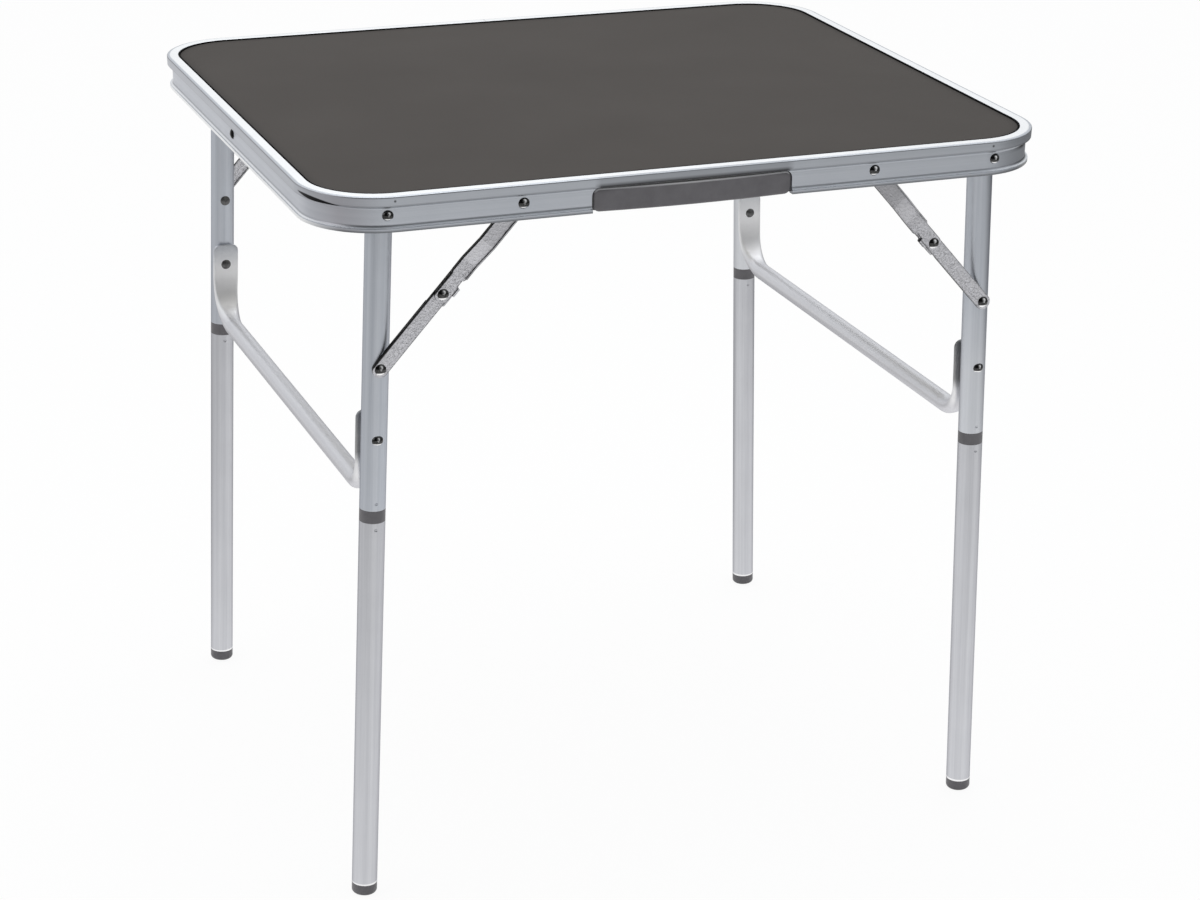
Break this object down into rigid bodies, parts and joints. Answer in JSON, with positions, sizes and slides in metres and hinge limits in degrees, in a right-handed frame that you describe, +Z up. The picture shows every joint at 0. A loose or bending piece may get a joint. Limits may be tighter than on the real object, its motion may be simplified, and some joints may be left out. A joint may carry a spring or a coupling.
{
  "type": "folding camping table",
  "caption": "Folding camping table: flat panel in a rounded aluminium rail, folding tube leg frames with locking struts, plug-in lower legs and a carry handle.",
  "frame": {"origin": "on the ground, under the middle of the table", "axes": "+X along the front rail to the right as seen from the side with the carry handle, +Y from that side to the back, +Z up"},
  "size_m": [0.75, 0.638, 0.722],
  "materials": {
    "panel_sheet": "thin hardboard with a matt grey-brown coating of fine grain",
    "seal": "matt black soft strip",
    "rail_aluminium": "satin anodised extrusion, drawn lines along its length",
    "tube_aluminium": "satin drawn tube",
    "zinc_steel": "zinc coated pressed steel",
    "rivet_steel": "bright plated rivet",
    "grey_plastic": "moulded plastic with a soft sheen",
    "black_plastic": "moulded black plastic"
  },
  "bodies": {
    "table_top": {"table_panel": "panel_sheet", "panel_seal": "seal", "edge_rail": "rail_aluminium", "rail_joiner": "zinc_steel", "joiner_rivets": "rivet_steel", "panel_stiffener": "zinc_steel", "stiffener_rivets": "rivet_steel", "carry_handle": "grey_plastic", "handle_screws": "zinc_steel", "leg_pivot_bushes": "black_plastic", "leg_pivot_rivets": "rivet_steel", "strut_pivot_bushes": "black_plastic", "strut_pivot_rivets": "rivet_steel"},
    "leg_frame_left": {"upper_leg_front_left": "tube_aluminium", "upper_leg_back_left": "tube_aluminium", "cross_brace_left": "tube_aluminium", "brace_rivets_left": "rivet_steel", "strut_rivets_left": "rivet_steel", "strut_washers_left": "black_plastic"},
    "strut_top_front_left": {"strut_upper_front_left": "zinc_steel", "mid_rivet_head_front_left": "rivet_steel"},
    "strut_foot_front_left": {"strut_lower_front_left": "zinc_steel", "mid_rivet_tail_front_left": "rivet_steel"},
    "lower_leg_body_front_left": {"leg_plug_front_left": "grey_plastic", "lower_leg_front_left": "tube_aluminium", "foot_cap_front_left": "grey_plastic"},
    "strut_top_back_left": {"strut_upper_back_left": "zinc_steel", "mid_rivet_head_back_left": "rivet_steel"},
    "strut_foot_back_left": {"strut_lower_back_left": "zinc_steel", "mid_rivet_tail_back_left": "rivet_steel"},
    "lower_leg_body_back_left": {"leg_plug_back_left": "grey_plastic", "lower_leg_back_left": "tube_aluminium", "foot_cap_back_left": "grey_plastic"},
    "leg_frame_right": {"upper_leg_front_right": "tube_aluminium", "upper_leg_back_right": "tube_aluminium", "cross_brace_right": "tube_aluminium", "brace_rivets_right": "rivet_steel", "strut_rivets_right": "rivet_steel", "strut_washers_right": "black_plastic"},
    "strut_top_front_right": {"strut_upper_front_right": "zinc_steel", "mid_rivet_head_front_right": "rivet_steel"},
    "strut_foot_front_right": {"strut_lower_front_right": "zinc_steel", "mid_rivet_tail_front_right": "rivet_steel"},
    "lower_leg_body_front_right": {"leg_plug_front_right": "grey_plastic", "lower_leg_front_right": "tube_aluminium", "foot_cap_front_right": "grey_plastic"},
    "strut_top_back_right": {"strut_upper_back_right": "zinc_steel", "mid_rivet_head_back_right": "rivet_steel"},
    "strut_foot_back_right": {"strut_lower_back_right": "zinc_steel", "mid_rivet_tail_back_right": "rivet_steel"},
    "lower_leg_body_back_right": {"leg_plug_back_right": "grey_plastic", "lower_leg_back_right": "tube_aluminium", "foot_cap_back_right": "grey_plastic"}
  },
  "joints": [
    {"name": "fold_left_legs", "type": "hinge", "parent": "table_top", "child": "leg_frame_left", "pos_m": [-0.307, 0, 0.7028], "axis": [0, -1, 0], "range_deg": [0, 25]},
    {"name": "strut_top_front_left_turn", "type": "hinge", "parent": "table_top", "child": "strut_top_front_left", "pos_m": [-0.1777, -0.2845, 0.7028], "axis": [0, -1, 0], "range_deg": [0, 50]},
    {"name": "strut_foot_front_left_turn", "type": "hinge", "parent": "leg_frame_left", "child": "strut_foot_front_left", "pos_m": [-0.312, -0.2845, 0.55218], "axis": [0, -1, 0], "range_deg": [-56, 0]},
    {"name": "pull_off_front_left_leg", "type": "slide", "parent": "leg_frame_left", "child": "lower_leg_body_front_left", "axis": [-0.0332, 0, -0.9995], "range_m": [0, 0.045]},
    {"name": "strut_top_back_left_turn", "type": "hinge", "parent": "table_top", "child": "strut_top_back_left", "pos_m": [-0.1777, 0.2845, 0.7028], "axis": [0, -1, 0], "range_deg": [0, 50]},
    {"name": "strut_foot_back_left_turn", "type": "hinge", "parent": "leg_frame_left", "child": "strut_foot_back_left", "pos_m": [-0.312, 0.2845, 0.55218], "axis": [0, -1, 0], "range_deg": [-56, 0]},
    {"name": "pull_off_back_left_leg", "type": "slide", "parent": "leg_frame_left", "child": "lower_leg_body_back_left", "axis": [-0.0332, 0, -0.9995], "range_m": [0, 0.045]},
    {"name": "fold_right_legs", "type": "hinge", "parent": "table_top", "child": "leg_frame_right", "pos_m": [0.307, 0, 0.7028], "axis": [0, 1, 0], "range_deg": [0, 25]},
    {"name": "strut_top_front_right_turn", "type": "hinge", "parent": "table_top", "child": "strut_top_front_right", "pos_m": [0.1777, -0.2845, 0.7028], "axis": [0, 1, 0], "range_deg": [0, 50]},
    {"name": "strut_foot_front_right_turn", "type": "hinge", "parent": "leg_frame_right", "child": "strut_foot_front_right", "pos_m": [0.312, -0.2845, 0.55218], "axis": [0, 1, 0], "range_deg": [-56, 0]},
    {"name": "pull_off_front_right_leg", "type": "slide", "parent": "leg_frame_right", "child": "lower_leg_body_front_right", "axis": [0.0332, 0, -0.9995], "range_m": [0, 0.045]},
    {"name": "strut_top_back_right_turn", "type": "hinge", "parent": "table_top", "child": "strut_top_back_right", "pos_m": [0.1777, 0.2845, 0.7028], "axis": [0, 1, 0], "range_deg": [0, 50]},
    {"name": "strut_foot_back_right_turn", "type": "hinge", "parent": "leg_frame_right", "child": "strut_foot_back_right", "pos_m": [0.312, 0.2845, 0.55218], "axis": [0, 1, 0], "range_deg": [-56, 0]},
    {"name": "pull_off_back_right_leg", "type": "slide", "parent": "leg_frame_right", "child": "lower_leg_body_back_right", "axis": [0.0332, 0, -0.9995], "range_m": [0, 0.045]}
  ],
  "couplings": [
    {"joint": "strut_top_front_left_turn", "follows": "fold_left_legs", "ratio": 1.9889},
    {"joint": "strut_foot_front_left_turn", "follows": "fold_left_legs", "ratio": -2.2049},
    {"joint": "strut_top_back_left_turn", "follows": "fold_left_legs", "ratio": 1.9889},
    {"joint": "strut_foot_back_left_turn", "follows": "fold_left_legs", "ratio": -2.2049},
    {"joint": "strut_top_front_right_turn", "follows": "fold_right_legs", "ratio": 1.9889},
    {"joint": "strut_foot_front_right_turn", "follows": "fold_right_legs", "ratio": -2.2049},
    {"joint": "strut_top_back_right_turn", "follows": "fold_right_legs", "ratio": 1.9889},
    {"joint": "strut_foot_back_right_turn", "follows": "fold_right_legs", "ratio": -2.2049}
  ]
}
